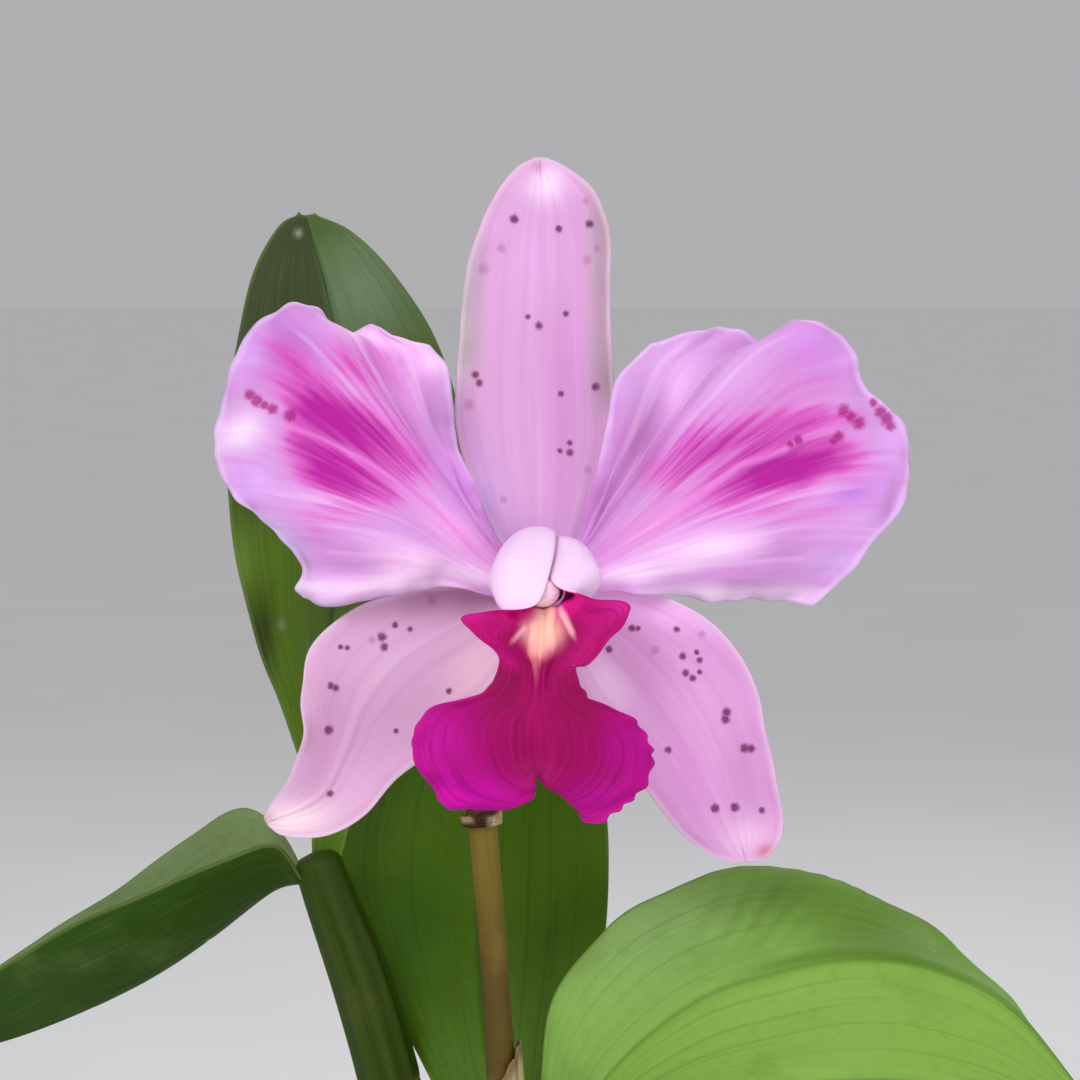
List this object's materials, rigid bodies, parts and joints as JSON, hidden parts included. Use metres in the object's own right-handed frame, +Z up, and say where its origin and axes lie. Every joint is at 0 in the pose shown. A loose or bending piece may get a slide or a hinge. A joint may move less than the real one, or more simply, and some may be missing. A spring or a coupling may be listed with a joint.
{
  "type": "potted cattleya orchid",
  "caption": "Cattleya orchid in flower, with spotted sepals, wavy petals and a frilled lip, standing in bark in a plain clay pot.",
  "frame": {"origin": "centre of the pot's flat base, where the pot stands", "axes": "+Z up along the pot's axis; the flower faces -Y; +X to the viewer's right"},
  "size_m": [0.2201, 0.124, 0.3678],
  "materials": {
    "clay": "matt unglazed earthenware",
    "bark": "rough chopped bark",
    "rhizome_skin": "matt, fibrous",
    "bulb_skin": "satin, finely grooved",
    "dry_bract": "dry and papery, veined",
    "stem_skin": "satin",
    "leaf_skin": "waxy, leathery",
    "young_leaf": "waxy, leathery",
    "sepal_skin": "soft satin, dark spots",
    "petal_skin": "soft satin, magenta flare",
    "lip_skin": "velvety crimson, pale tube",
    "column_skin": "waxy"
  },
  "bodies": {
    "root": {"pot": "clay", "potting_bark": "bark", "rhizome": "rhizome_skin", "bulb_front": "bulb_skin", "bulb_left": "bulb_skin", "bulb_sheath_front": "dry_bract", "bulb_sheath_left": "dry_bract", "flower_sheath": "dry_bract", "stem_bract": "dry_bract", "flower_stem": "stem_skin", "ovary": "stem_skin", "leaf_tall": "leaf_skin", "leaf_arching": "leaf_skin", "leaf_middle": "leaf_skin", "leaf_right": "young_leaf", "dorsal_sepal": "sepal_skin", "sepal_left": "sepal_skin", "sepal_right": "sepal_skin", "petal_left": "petal_skin", "petal_right": "petal_skin", "lip": "lip_skin", "column": "column_skin", "anther_cap": "column_skin"}
  },
  "joints": []
}
